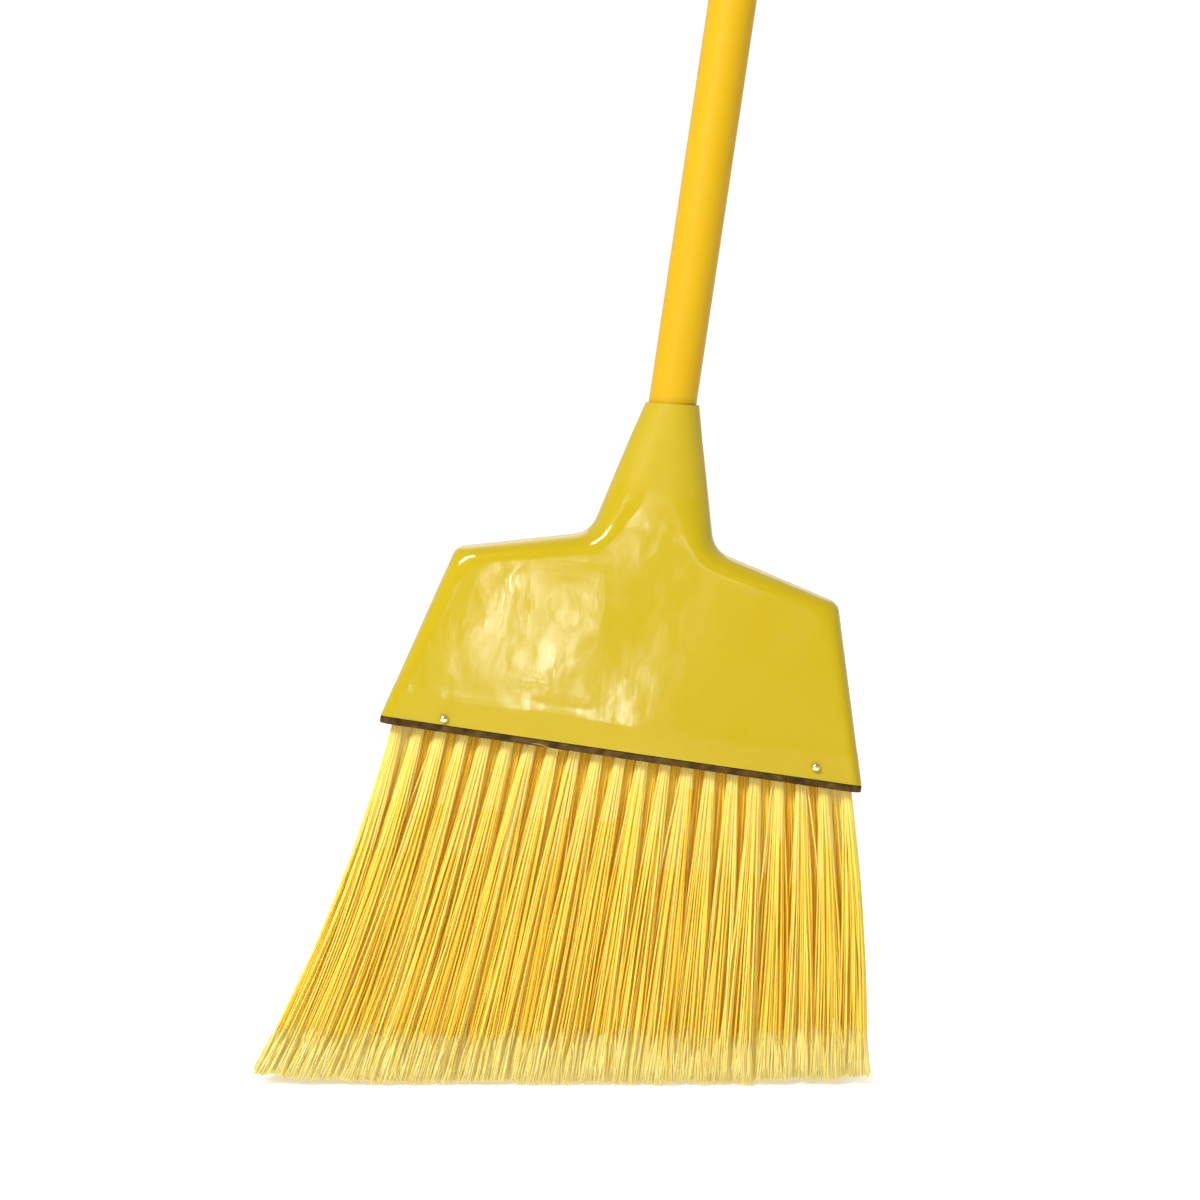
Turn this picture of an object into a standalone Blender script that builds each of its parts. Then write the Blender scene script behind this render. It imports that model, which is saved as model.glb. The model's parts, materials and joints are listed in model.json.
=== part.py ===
"""Angle broom: a moulded cap nailed over a bristle block, with a screw-in handle that has a swivel hanger.

The row frame has +Z up, +X to the right as the front is seen, and the front facing -Y. Its origin is the
centre of the bristles' sweep face on the floor. The head and the handle lean together towards +X, so they
are modelled upright under one empty, in the head's own frame: x across, y front to back, z along the handle.
That frame's origin is the middle of the cap's lower edge. All lengths are in metres.
"""

import math

import bmesh
import bpy
from mathutils import Vector

GAP = 0.0003  # clearance between touching pieces

# The head's place in the row frame
LEAN = math.radians(8.4)
HEAD_ORIGIN = Vector((0.0305, 0.0, 0.1688))

# Cap: half widths and heights of the outline, and half depths
CAP_EDGE = (0.1223, 0.0)
CAP_SHOULDER = (0.0972, 0.0884)
CAP_NECK_BASE = (0.0316, 0.1056)
CAP_MOUTH = (0.0134, 0.1755)
SHOULDER_RADIUS = 0.005
NECK_BASE_RADIUS = 0.012
CAP_WALL = 0.002
CAP_DEPTHS = ((0.0, 0.0186), (0.015, 0.0184), (0.088, 0.0152), (0.112, 0.0140), (0.180, 0.0140))
CAP_CORNERS = ((0.0, 0.006, 0.006), (0.080, 0.007, 0.007), (0.092, 0.028, 0.009), (0.112, 0.0135, 0.0135))
SKIRT_HEIGHT = 0.015
SKIRT_STEP = 0.0004
CORNER_POINTS = 6

# Neck socket and thread, a 3/4 inch broom thread with five turns to the inch
SOCKET_RADIUS = 0.0132
SOCKET_BOTTOM = 0.106
SEAT = 0.139  # height of the ledge that the handle's collar comes down on
CAVITY_TOP = 0.132
MOUTH_RADIUS = 0.0123
THREAD_PITCH = 0.00508
THREAD_CENTRE = 0.0080
THREAD_POINTS = 12  # in each turn
MALE_CORE, MALE_THREAD = 0.0076, 0.00135
FEMALE_CORE, FEMALE_THREAD = 0.0080, 0.0020
MALE_TURNS, MALE_RELIEF = 5, 0.25  # turns from the ridge's start to the seat, and left plain under the collar
FEMALE_TURNS, FEMALE_RUN_OUT = 7, 0.75  # turns of the groove below the seat and above it
TIP_BOTTOM = 0.111

# Handle
HANDLE_RADIUS = 0.012
HANDLE_WALL = 0.0008
COLLAR = 0.004
PLUG_LENGTH = 0.035
HANDLE_TOP = TIP_BOTTOM + 1.067  # 42 inches over all, from the threaded tip to the hanger
HANGER_HEIGHT = 0.0284
HANGER_WIDTH = 0.0240
HANGER_THICKNESS = 0.0080
HANGER_BASE = 0.0050
HANGER_SLOT_WIDTH = 0.0140
HANGER_SLOT_HEIGHT = 0.0170
PLUG_FLANGE = 0.003
PIN_RADIUS = 0.0022
PIN_HEAD_RADIUS = 0.0045
PIN_HEAD = 0.0018

# Bristle block
BLOCK_FLANGE = 0.0033
BLOCK_TOP = 0.022
BLOCK_HALF_WIDTHS = (0.1197, 0.1134)  # at the flange and at the top
BLOCK_HALF_DEPTHS = (0.0161, 0.0151)
BLOCK_CORNER = 0.006

# Tufts: the pitch of the holes and of the trimmed ends, across and from front to back
ROOT_PITCH, TRIM_PITCH = 0.01145, 0.01482
ROOT_ROWS = (-0.009, -0.003, 0.003, 0.009)
TRIM_ROWS = (-0.01725, -0.00575, 0.00575, 0.01725)
ROW_COUNTS = (21, 20, 21, 20)
TUFT_RADIUS, HOLE_RADIUS = 0.0024, 0.00275
HOLE_DEPTH = 0.010
TUFT_ANGLES = [math.radians(22.5 + 45 * k) for k in range(8)]
SLAB_DROP = 0.0104  # how far below the block the inner tufts run together

# Nails: distance across and height, with short shanks that end before the front tufts' holes
NAILS = {
    "nail_front_left": (-0.0904, 0.0031, -1),
    "nail_front_right": (0.0975, 0.0062, -1),
    "nail_back_left": (-0.0904, 0.0045, 1),
    "nail_back_right": (0.0904, 0.0045, 1),
}
NAIL_HEAD_RADIUS, NAIL_HEAD_HEIGHT = 0.00215, 0.0013
NAIL_RADIUS, NAIL_LENGTH = 0.0007, 0.0062

ROUND_STEPS, PIN_STEPS, NAIL_STEPS = 24, 20, 12


def clear_scene():
    for old in list(bpy.data.objects):
        bpy.data.objects.remove(old, do_unlink=True)


def collection(name):
    made = bpy.data.collections.new(name)
    bpy.context.scene.collection.children.link(made)
    return made


def material(name, color, roughness, metallic=0.0):
    made = bpy.data.materials.new(name)
    made.use_nodes = True
    shader = made.node_tree.nodes["Principled BSDF"]
    shader.inputs["Base Color"].default_value = (*color, 1.0)
    shader.inputs["Roughness"].default_value = roughness
    shader.inputs["Metallic"].default_value = metallic
    return made


def place(name, data, group, frame, finish=None):
    """A new object in the head's frame, on a collection."""
    made = bpy.data.objects.new(name, data)
    group.objects.link(made)
    made.parent = frame
    if finish:
        data.materials.append(finish)
    if group.name == "cutters":
        made.hide_render = True
        made.display_type = "WIRE"
    return made


def smooth(obj, angle=35):
    obj.data.shade_smooth()
    obj.data.set_sharp_from_angle(angle=math.radians(angle))


def boolean(obj, other, operation="DIFFERENCE"):
    modifier = obj.modifiers.new(operation.lower() + "_" + other.name, "BOOLEAN")
    modifier.operation = operation
    modifier.object = other
    modifier.solver = "EXACT"


def loft(name, sections):
    """A closed mesh through rings with equal numbers of points, capped at both ends."""
    mesh = bpy.data.meshes.new(name)
    shape = bmesh.new()
    rings = [[shape.verts.new(point) for point in ring] for ring in sections]
    for lower, upper in zip(rings, rings[1:]):
        for k in range(len(lower)):
            n = (k + 1) % len(lower)
            shape.faces.new((lower[k], lower[n], upper[n], upper[k]))
    shape.faces.new(rings[0])
    shape.faces.new(rings[-1])
    bmesh.ops.recalc_face_normals(shape, faces=shape.faces)
    shape.to_mesh(mesh)
    shape.free()
    return mesh


def turned(name, profile, group, frame, finish=None, steps=ROUND_STEPS):
    """A profile of (radius, height) points, from top to bottom down its outer side, turned about the z axis."""
    mesh = bpy.data.meshes.new(name)
    count = len(profile)
    edges = [(k, (k + 1) % count) for k in range(count)]
    if profile[0][0] == 0 and profile[-1][0] == 0:
        edges.pop()
    mesh.from_pydata([(r, 0, z) for r, z in profile], edges, [])
    made = place(name, mesh, group, frame, finish)
    screw = made.modifiers.new("turn", "SCREW")
    screw.axis = "Z"
    screw.steps = screw.render_steps = steps
    screw.use_merge_vertices = True
    screw.merge_threshold = 0.00001
    screw.use_smooth_shade = False
    return made


def curve_mesh(name, curve, group, frame, finish=None):
    """The closed mesh that a curve with bevel or extrusion makes, with its caps welded."""
    guide = bpy.data.objects.new(name + "_guide", curve)
    bpy.context.scene.collection.objects.link(guide)
    bpy.context.view_layer.update()
    mesh = bpy.data.meshes.new_from_object(guide.evaluated_get(bpy.context.evaluated_depsgraph_get()))
    bpy.data.objects.remove(guide)
    shape = bmesh.new()
    shape.from_mesh(mesh)
    bmesh.ops.remove_doubles(shape, verts=shape.verts, dist=0.00001)
    bmesh.ops.recalc_face_normals(shape, faces=shape.faces)
    shape.to_mesh(mesh)
    shape.free()
    mesh.materials.clear()
    return place(name, mesh, group, frame, finish)


def filleted(points, radii, steps=4):
    """An open outline with an arc in place of each inner corner that has a radius."""
    found = [Vector(points[0])]
    for before, corner, after, radius in zip(points, points[1:], points[2:], radii):
        corner = Vector(corner)
        back = (Vector(before) - corner).normalized()
        on = (Vector(after) - corner).normalized()
        half = back.angle(on) / 2
        reach = radius / math.tan(half)
        centre = corner + (back + on).normalized() * (radius / math.sin(half))
        start, end = corner + back * reach - centre, corner + on * reach - centre
        for k in range(steps + 1):
            found.append(centre + start.slerp(end, k / steps).normalized() * radius)
    found.append(Vector(points[-1]))
    return found


def offset(points, distance):
    """The outline moved inwards, towards x = 0, by a distance."""
    lines = []
    for a, b in zip(points, points[1:]):
        along = (Vector(b) - Vector(a)).normalized()
        lines.append((Vector(a) + Vector((-along.y, along.x)) * distance, along))
    found = [lines[0][0]]
    for (p, d), (q, e) in zip(lines, lines[1:]):
        t = (q - p).cross(e) / d.cross(e)
        found.append(p + d * t)
    along = lines[-1][1]
    found.append(lines[-1][0] + along * (Vector(points[-1]) - Vector(points[-2])).length)
    return found


def at_height(table, z):
    """The values of a table of (height, value, ...) rows at a height, in straight lines between rows."""
    if z <= table[0][0]:
        return table[0][1:]
    for low, high in zip(table, table[1:]):
        if z <= high[0]:
            share = (z - low[0]) / (high[0] - low[0])
            return tuple(a + (b - a) * share for a, b in zip(low[1:], high[1:]))
    return table[-1][1:]


def rounded_section(half_width, half_depth, corner_x, corner_y, z):
    """A rectangle with elliptical corners at one height."""
    corner_x = min(corner_x, half_width * 0.995)
    corner_y = min(corner_y, half_depth * 0.995)
    ring = []
    for quarter in range(4):
        side_x = (1, -1, -1, 1)[quarter]
        side_y = (1, 1, -1, -1)[quarter]
        for k in range(CORNER_POINTS):
            angle = math.pi / 2 * (quarter + k / (CORNER_POINTS - 1))
            x = side_x * (half_width - corner_x) + corner_x * math.cos(angle)
            y = side_y * (half_depth - corner_y) + corner_y * math.sin(angle)
            ring.append((x, y, z))
    return ring


def cap_sections(outline, inset, proud):
    """The rings of the cap's outside, or of its cavity when inset is the wall's thickness."""
    rings = []
    for half_width, z in outline:
        (half_depth,) = at_height(CAP_DEPTHS, z)
        corner_x, corner_y = at_height(CAP_CORNERS, z)
        extra = proud if z <= SKIRT_HEIGHT else 0.0
        wide, deep = half_width + extra, half_depth + extra - inset
        rings.append(rounded_section(wide, deep, corner_x - inset, corner_y - inset, z))
    return rings


def helix(name, radius, start, end, run_in, group, frame):
    """A right-hand thread ridge as a tube. Its ends sink into the core over run_in points, if that is set."""
    turns = (end - start) / THREAD_PITCH
    count = round(turns * THREAD_POINTS)
    curve = bpy.data.curves.new(name, "CURVE")
    curve.dimensions = "3D"
    spline = curve.splines.new("POLY")
    spline.points.add(count)
    for k, point in enumerate(spline.points):
        angle = 2 * math.pi * k / THREAD_POINTS
        fade = max(0, 1 - min(k, count - k) / run_in) if run_in else 0
        reach = THREAD_CENTRE - 2 * radius * fade
        height = start + THREAD_PITCH * k / THREAD_POINTS
        point.co = (reach * math.cos(angle), reach * math.sin(angle), height, 1)
    curve.bevel_depth = radius
    curve.bevel_resolution = 2
    curve.use_fill_caps = True
    return curve_mesh(name, curve, group, frame)


def cylinder(name, radius, start, end, group, frame, steps=ROUND_STEPS):
    """A cylinder between two points of the head's frame."""
    mesh = bpy.data.meshes.new(name)
    shape = bmesh.new()
    start, end = Vector(start), Vector(end)
    turn = (end - start).to_track_quat("Z", "Y").to_matrix().to_4x4()
    turn.translation = (start + end) / 2
    bmesh.ops.create_cone(
        shape,
        cap_ends=True,
        segments=steps,
        radius1=radius,
        radius2=radius,
        depth=(end - start).length,
        matrix=turn,
    )
    shape.to_mesh(mesh)
    shape.free()
    return place(name, mesh, group, frame)


def cap_half_depth(z):
    return at_height(CAP_DEPTHS, z)[0] + (SKIRT_STEP if z <= SKIRT_HEIGHT else 0.0)


def make_cap(parts, cutters, frame, finish):
    corners = (CAP_EDGE, CAP_SHOULDER, CAP_NECK_BASE, CAP_MOUTH)
    outline = filleted(corners, (SHOULDER_RADIUS, NECK_BASE_RADIUS))
    slope = (CAP_SHOULDER[0] - CAP_EDGE[0]) / CAP_SHOULDER[1]
    skirt_top = Vector((CAP_EDGE[0] + slope * SKIRT_HEIGHT, SKIRT_HEIGHT))
    above_skirt = skirt_top + Vector((slope, 1)) * SKIRT_STEP
    outline[1:1] = [skirt_top, above_skirt]
    cap = place("broom_cap", loft("broom_cap", cap_sections(outline, 0, SKIRT_STEP)), parts, frame, finish)

    inner = offset(corners, CAP_WALL)
    below = inner[0] - Vector((slope, 1)) * CAP_WALL
    neck_slope = (inner[3].x - inner[2].x) / (inner[3].y - inner[2].y)
    top = Vector((inner[2].x + neck_slope * (CAVITY_TOP - inner[2].y), CAVITY_TOP))
    hollow = filleted((below, inner[1], inner[2], top), (SHOULDER_RADIUS / 2, NECK_BASE_RADIUS))
    cavity = place("cap_cavity", loft("cap_cavity", cap_sections(hollow, CAP_WALL, 0)), cutters, frame)
    socket = cylinder("socket_core", SOCKET_RADIUS, (0, 0, SOCKET_BOTTOM), (0, 0, SEAT), cutters, frame)
    boolean(cavity, socket)
    boolean(cap, cavity)

    low, high = SOCKET_BOTTOM - CAP_WALL, CAP_MOUTH[1] + CAP_WALL
    wide = [(0, high), (MOUTH_RADIUS, high), (MOUTH_RADIUS, SEAT)]
    narrow = [(FEMALE_CORE, SEAT), (FEMALE_CORE, low), (0, low)]
    boolean(cap, turned("neck_bore", wide + narrow, cutters, frame))
    groove_start = SEAT - THREAD_PITCH * FEMALE_TURNS
    groove_end = SEAT + THREAD_PITCH * FEMALE_RUN_OUT
    boolean(cap, helix("neck_thread", FEMALE_THREAD, groove_start, groove_end, 0, cutters, frame))
    for name, (x, z, side) in NAILS.items():
        start = (x, side * (cap_half_depth(z) + CAP_WALL), z)
        end = (x, side * (cap_half_depth(z) - 2 * CAP_WALL), z)
        boolean(cap, cylinder(name + "_hole", NAIL_RADIUS + GAP, start, end, cutters, frame, NAIL_STEPS))
    smooth(cap)


def trim_height(x):
    """Where the floor plane cuts a line parallel to the handle, in the head's frame."""
    return (x * math.sin(LEAN) - HEAD_ORIGIN.z) / math.cos(LEAN)


def trim_across(row_x):
    """The head's x for a point of the sweep face, from its x in the row frame."""
    return (row_x - HEAD_ORIGIN.x + HEAD_ORIGIN.z * math.tan(LEAN)) * math.cos(LEAN)


def tuft_line(row, column):
    """(root, trim): the middle of a tuft at the block's face and at its trimmed end, in the head's frame."""
    index = column - (ROW_COUNTS[row] - 1) / 2
    root = Vector((index * ROOT_PITCH, ROOT_ROWS[row], -GAP - BLOCK_FLANGE))
    x = trim_across(index * TRIM_PITCH)
    return root, Vector((x, TRIM_ROWS[row], trim_height(x)))


def root_ring(row, column, height, radius):
    """An eight-sided ring across a tuft's line, near its root. The line runs straight up into the block."""
    root, trim = tuft_line(row, column)
    middle = root + (trim - root) * ((height - root.z) / (trim.z - root.z))
    return [middle + Vector((radius * math.cos(a), radius * math.sin(a), 0)) for a in TUFT_ANGLES]


def trim_ring(row, column):
    """A rectangle with cut corners in the floor plane, which fills the tuft's share of the sweep face."""
    _, trim = tuft_line(row, column)
    half_x = (TRIM_PITCH / 2 - GAP) * math.cos(LEAN)
    half_y = (TRIM_ROWS[3] - TRIM_ROWS[2] - GAP) / 2
    ring = []
    for a in TUFT_ANGLES:
        x = trim.x + half_x * max(-1, min(1, 1.25 * math.cos(a)))
        y = trim.y + half_y * max(-1, min(1, 1.25 * math.sin(a)))
        ring.append(Vector((x, y, trim_height(x))))
    return ring


def make_outer_tufts(parts, frame, finish):
    for row, label in ((0, "front_tuft"), (3, "rear_tuft")):
        for column in range(ROW_COUNTS[row]):
            name = f"{label}_{column + 1:02d}"
            face = -GAP - BLOCK_FLANGE
            rings = [
                trim_ring(row, column),
                root_ring(row, column, face, TUFT_RADIUS),
                root_ring(row, column, face + HOLE_DEPTH - 2 * GAP, TUFT_RADIUS),
            ]
            smooth(place(name, loft(name, rings), parts, frame, finish), 50)


def make_inner_tufts(parts, cutters, frame, finish):
    """The two inner rows: separate roots in their holes, which run together into one brush lower down."""
    top = -GAP - BLOCK_FLANGE - SLAB_DROP
    outermost = (ROW_COUNTS[2] - 1) / 2
    root_x = ROOT_PITCH * outermost + TUFT_RADIUS
    trim_x = TRIM_PITCH * (outermost + 0.5) - GAP
    trim_y = TRIM_ROWS[3] - (TRIM_ROWS[3] - TRIM_ROWS[2]) / 2 - 2 * GAP
    upper_y = ROOT_ROWS[2] + TUFT_RADIUS + GAP
    lower, upper = [], []
    for side_x, side_y in ((1, 1), (-1, 1), (-1, -1), (1, -1)):
        x = trim_across(side_x * trim_x)
        lower.append((x, side_y * trim_y, trim_height(x)))
        upper.append((side_x * (root_x + GAP), side_y * upper_y, top))
    slab = place("inner_tufts", loft("inner_tufts", [lower, upper]), parts, frame, finish)
    for row in (1, 2):
        for column in range(ROW_COUNTS[row]):
            name = f"inner_root_{row}_{column + 1:02d}"
            rings = [
                root_ring(row, column, top - SLAB_DROP / 2, TUFT_RADIUS),
                root_ring(row, column, -GAP - BLOCK_FLANGE + HOLE_DEPTH - 2 * GAP, TUFT_RADIUS),
            ]
            boolean(slab, place(name, loft(name, rings), cutters, frame), "UNION")


def make_block(parts, cutters, frame, finish):
    face = -GAP - BLOCK_FLANGE
    wide, deep = CAP_EDGE[0], cap_half_depth(0)
    rings = [
        rounded_section(wide, deep - GAP, BLOCK_CORNER, BLOCK_CORNER, face),
        rounded_section(wide, deep - GAP, BLOCK_CORNER, BLOCK_CORNER, -GAP),
        rounded_section(BLOCK_HALF_WIDTHS[0], BLOCK_HALF_DEPTHS[0], BLOCK_CORNER, BLOCK_CORNER, -GAP),
        rounded_section(BLOCK_HALF_WIDTHS[1], BLOCK_HALF_DEPTHS[1], BLOCK_CORNER, BLOCK_CORNER, BLOCK_TOP),
    ]
    block = place("bristle_block", loft("bristle_block", rings), parts, frame, finish)
    holes = bmesh.new()
    for row, count in enumerate(ROW_COUNTS):
        for column in range(count):
            ends = [
                root_ring(row, column, face - BLOCK_FLANGE, HOLE_RADIUS),
                root_ring(row, column, face + HOLE_DEPTH, HOLE_RADIUS),
            ]
            holes.from_mesh(loft("hole", ends))
    mesh = bpy.data.meshes.new("tuft_holes")
    holes.to_mesh(mesh)
    holes.free()
    boolean(block, place("tuft_holes", mesh, cutters, frame))
    for name, (x, z, side) in NAILS.items():
        reach = cap_half_depth(z) - NAIL_LENGTH - GAP
        start = (x, side * (cap_half_depth(z) + CAP_WALL), z)
        end = (x, side * reach, z)
        boolean(block, cylinder(name + "_pilot", NAIL_RADIUS + GAP, start, end, cutters, frame, NAIL_STEPS))
    smooth(block)


def make_nails(parts, frame, finish):
    for name, (x, z, side) in NAILS.items():
        dome = [(0, NAIL_HEAD_HEIGHT)]
        for angle in (67.5, 45, 22.5, 0):
            a = math.radians(angle)
            dome.append((NAIL_HEAD_RADIUS * math.cos(a), NAIL_HEAD_HEIGHT * math.sin(a)))
        point = [(NAIL_RADIUS, 0), (NAIL_RADIUS, 2 * NAIL_RADIUS - NAIL_LENGTH), (0, -NAIL_LENGTH)]
        nail = turned(name, dome + point, parts, frame, finish, NAIL_STEPS)
        nail.location = (x, side * (cap_half_depth(z) + GAP), z)
        nail.rotation_euler = (math.radians(90 if side < 0 else -90), 0, 0)
        smooth(nail)


def make_threaded_tip(parts, cutters, frame, finish):
    collar_bottom = SEAT + GAP
    collar_top = collar_bottom + COLLAR
    plug_radius = HANDLE_RADIUS - HANDLE_WALL - GAP
    plug_top = collar_top + PLUG_LENGTH
    chamfer = 0.001
    tip = turned(
        "threaded_tip",
        [
            (0, plug_top),
            (plug_radius - chamfer, plug_top),
            (plug_radius, plug_top - chamfer),
            (plug_radius, collar_top),
            (HANDLE_RADIUS, collar_top),
            (HANDLE_RADIUS, collar_bottom),
            (MALE_CORE, collar_bottom),
            (MALE_CORE, TIP_BOTTOM + chamfer),
            (MALE_CORE - chamfer, TIP_BOTTOM),
            (0, TIP_BOTTOM),
        ],
        parts,
        frame,
        finish,
    )
    # The ridge starts a whole number of turns from the socket's own groove, so that they are in mesh.
    start = SEAT - THREAD_PITCH * MALE_TURNS
    end = SEAT - THREAD_PITCH * MALE_RELIEF
    boolean(tip, helix("tip_thread", MALE_THREAD, start, end, THREAD_POINTS / 2, cutters, frame), "UNION")
    smooth(tip)
    return collar_top


def make_handle(parts, frame, bottom, finish):
    top = HANDLE_TOP - HANGER_HEIGHT - GAP - PLUG_FLANGE - GAP
    bottom = bottom + GAP
    inner = HANDLE_RADIUS - HANDLE_WALL
    rim = HANDLE_WALL / 3
    tube = turned(
        "handle_tube",
        [
            (inner, top),
            (HANDLE_RADIUS - rim, top),
            (HANDLE_RADIUS, top - rim),
            (HANDLE_RADIUS, bottom + rim),
            (HANDLE_RADIUS - rim, bottom),
            (inner, bottom),
        ],
        parts,
        frame,
        finish,
    )
    smooth(tube)
    return top


def make_top_plug(parts, frame, tube_top, finish):
    base = tube_top + GAP
    plug_radius = HANDLE_RADIUS - HANDLE_WALL - GAP
    bore = PIN_RADIUS + GAP
    round_over = PLUG_FLANGE / 3
    plug = turned(
        "top_plug",
        [
            (bore, base + PLUG_FLANGE),
            (HANDLE_RADIUS - round_over, base + PLUG_FLANGE),
            (HANDLE_RADIUS, base + PLUG_FLANGE - round_over),
            (HANDLE_RADIUS, base),
            (plug_radius, base),
            (plug_radius, base - PLUG_LENGTH + round_over),
            (plug_radius - round_over, base - PLUG_LENGTH),
            (bore, base - PLUG_LENGTH),
        ],
        parts,
        frame,
        finish,
    )
    smooth(plug)
    return base


def make_hanger_pin(parts, frame, plug_base, finish):
    """The rivet: one head under the plug, inside the tube, and one in the hanger's slot."""
    low = plug_base - PLUG_LENGTH - GAP
    high = HANDLE_TOP - HANGER_HEIGHT + HANGER_BASE + GAP
    crown = PIN_HEAD / 3
    pin = turned(
        "hanger_pin",
        [
            (0, high + PIN_HEAD),
            (PIN_HEAD_RADIUS - crown, high + PIN_HEAD),
            (PIN_HEAD_RADIUS, high + PIN_HEAD - crown),
            (PIN_HEAD_RADIUS, high),
            (PIN_RADIUS, high),
            (PIN_RADIUS, low),
            (PIN_HEAD_RADIUS, low),
            (PIN_HEAD_RADIUS, low - PIN_HEAD),
            (0, low - PIN_HEAD),
        ],
        parts,
        frame,
        finish,
        PIN_STEPS,
    )
    smooth(pin)


def rounded_outline(half_width, low, high, low_radius, high_radius, steps=6):
    """A closed rectangle outline with rounded corners, as (x, y) points."""
    found = []
    for quarter in range(4):
        side = (1, -1, -1, 1)[quarter]
        radius = high_radius if quarter < 2 else low_radius
        middle = high - radius if quarter < 2 else low + radius
        for k in range(steps + 1):
            angle = math.pi / 2 * (quarter + k / steps)
            x = side * (half_width - radius) + radius * math.cos(angle)
            found.append((x, middle + radius * math.sin(angle)))
    return found


def make_hanger(parts, cutters, frame, finish):
    """A flat stirrup. Its slot has a level top, so that a hook carries it evenly."""
    curve = bpy.data.curves.new("swivel_hanger", "CURVE")
    curve.dimensions = "2D"
    curve.fill_mode = "BOTH"
    curve.extrude = HANGER_THICKNESS / 2
    slot_top = HANGER_BASE + HANGER_SLOT_HEIGHT
    outlines = (
        rounded_outline(HANGER_WIDTH / 2, 0, HANGER_HEIGHT, 0.0015, 0.010),
        rounded_outline(HANGER_SLOT_WIDTH / 2, HANGER_BASE, slot_top, 0.0015, 0.003, 4),
    )
    for outline in outlines:
        spline = curve.splines.new("POLY")
        spline.points.add(len(outline) - 1)
        spline.use_cyclic_u = True
        for point, (x, y) in zip(spline.points, outline):
            point.co = (x, y, 0, 1)
    hanger = curve_mesh("swivel_hanger", curve, parts, frame, finish)
    hanger.location = (0, 0, HANDLE_TOP - HANGER_HEIGHT)
    hanger.rotation_euler = (math.radians(90), 0, 0)
    low = HANDLE_TOP - HANGER_HEIGHT - HANGER_BASE
    high = low + 3 * HANGER_BASE
    boolean(hanger, cylinder("hanger_bore", PIN_RADIUS + GAP, (0, 0, low), (0, 0, high), cutters, frame))


def main():
    clear_scene()
    parts = collection("angle_broom")
    cutters = collection("cutters")
    frame = bpy.data.objects.new("head_frame", None)
    parts.objects.link(frame)
    frame.location = HEAD_ORIGIN
    frame.rotation_euler = (0, LEAN, 0)

    cap_plastic = material("cap_plastic", (0.70, 0.52, 0.01), 0.22)
    block_plastic = material("block_plastic", (0.06, 0.035, 0.012), 0.6)
    bristles = material("bristles", (0.75, 0.48, 0.04), 0.5)
    nail_brass = material("nail_brass", (0.72, 0.60, 0.30), 0.2, 1.0)
    handle_coating = material("handle_coating", (0.90, 0.60, 0.01), 0.4)
    fitting_plastic = material("fitting_plastic", (0.75, 0.50, 0.01), 0.4)
    rivet_steel = material("rivet_steel", (0.6, 0.6, 0.6), 0.3, 1.0)

    make_cap(parts, cutters, frame, cap_plastic)
    make_block(parts, cutters, frame, block_plastic)
    make_outer_tufts(parts, frame, bristles)
    make_inner_tufts(parts, cutters, frame, bristles)
    make_nails(parts, frame, nail_brass)
    tube_bottom = make_threaded_tip(parts, cutters, frame, fitting_plastic)
    tube_top = make_handle(parts, frame, tube_bottom, handle_coating)
    plug_base = make_top_plug(parts, frame, tube_top, fitting_plastic)
    make_hanger_pin(parts, frame, plug_base, rivet_steel)
    make_hanger(parts, cutters, frame, fitting_plastic)


main()
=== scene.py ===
import json
import math

import bmesh
import bpy
import numpy as np
from mathutils import Matrix, Vector
from mathutils.geometry import delaunay_2d_cdt


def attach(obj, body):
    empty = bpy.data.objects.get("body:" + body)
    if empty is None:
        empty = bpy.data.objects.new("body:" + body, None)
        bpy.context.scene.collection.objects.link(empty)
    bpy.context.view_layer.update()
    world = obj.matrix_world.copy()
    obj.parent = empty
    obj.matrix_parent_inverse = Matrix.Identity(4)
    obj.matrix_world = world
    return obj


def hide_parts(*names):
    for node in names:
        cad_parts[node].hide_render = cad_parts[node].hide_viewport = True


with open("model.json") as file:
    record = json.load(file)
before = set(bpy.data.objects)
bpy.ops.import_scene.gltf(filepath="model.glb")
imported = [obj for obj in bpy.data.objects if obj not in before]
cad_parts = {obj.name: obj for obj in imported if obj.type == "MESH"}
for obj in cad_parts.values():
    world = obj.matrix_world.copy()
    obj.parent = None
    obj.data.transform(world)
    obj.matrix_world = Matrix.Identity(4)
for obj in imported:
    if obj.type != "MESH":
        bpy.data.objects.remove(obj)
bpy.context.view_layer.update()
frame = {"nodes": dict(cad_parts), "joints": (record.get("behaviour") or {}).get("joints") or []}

MM = 0.001
TURN = 2 * math.pi

# The head's own frame: x across, y front to back, z along the handle, from the cap's lower edge.
SCREW = next(j for j in frame["joints"] if j["name"] == "handle_screw")
UP = Vector(SCREW["axis"]).normalized()
BACK = Vector((0, 1, 0))
ACROSS = BACK.cross(UP)


def turn_to(x, y, z, origin):
    """The matrix that takes points of a frame with these axes and origin to the row frame."""
    made = Matrix((x, y, z)).transposed().to_4x4()
    made.translation = origin
    return made


def node_points(node):
    """A CAD node's points as an array, in the row frame."""
    return np.array([v.co for v in frame["nodes"][node].data.vertices], float)


def head_frame():
    """The head's frame at the height of the cap's lowest point."""
    pivot = Vector(SCREW["pos_m"])
    lowest = ((node_points("broom_cap") - np.array(pivot)) @ np.array(UP)).min()
    return turn_to(ACROSS, BACK, UP, pivot + UP * lowest)


HEAD = head_frame()
HEAD_ROTATION = np.array(HEAD.to_3x3())
HEAD_ORIGIN = np.array(HEAD.translation)


def to_row(points):
    return np.asarray(points, float) @ HEAD_ROTATION.T + HEAD_ORIGIN


def in_head(node):
    return (node_points(node) - HEAD_ORIGIN) @ HEAD_ROTATION


def span(node):
    """The lowest and highest corners of a CAD node in the head's frame."""
    points = in_head(node)
    return points.min(axis=0), points.max(axis=0)


# ---------------------------------------------------------------- materials


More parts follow.
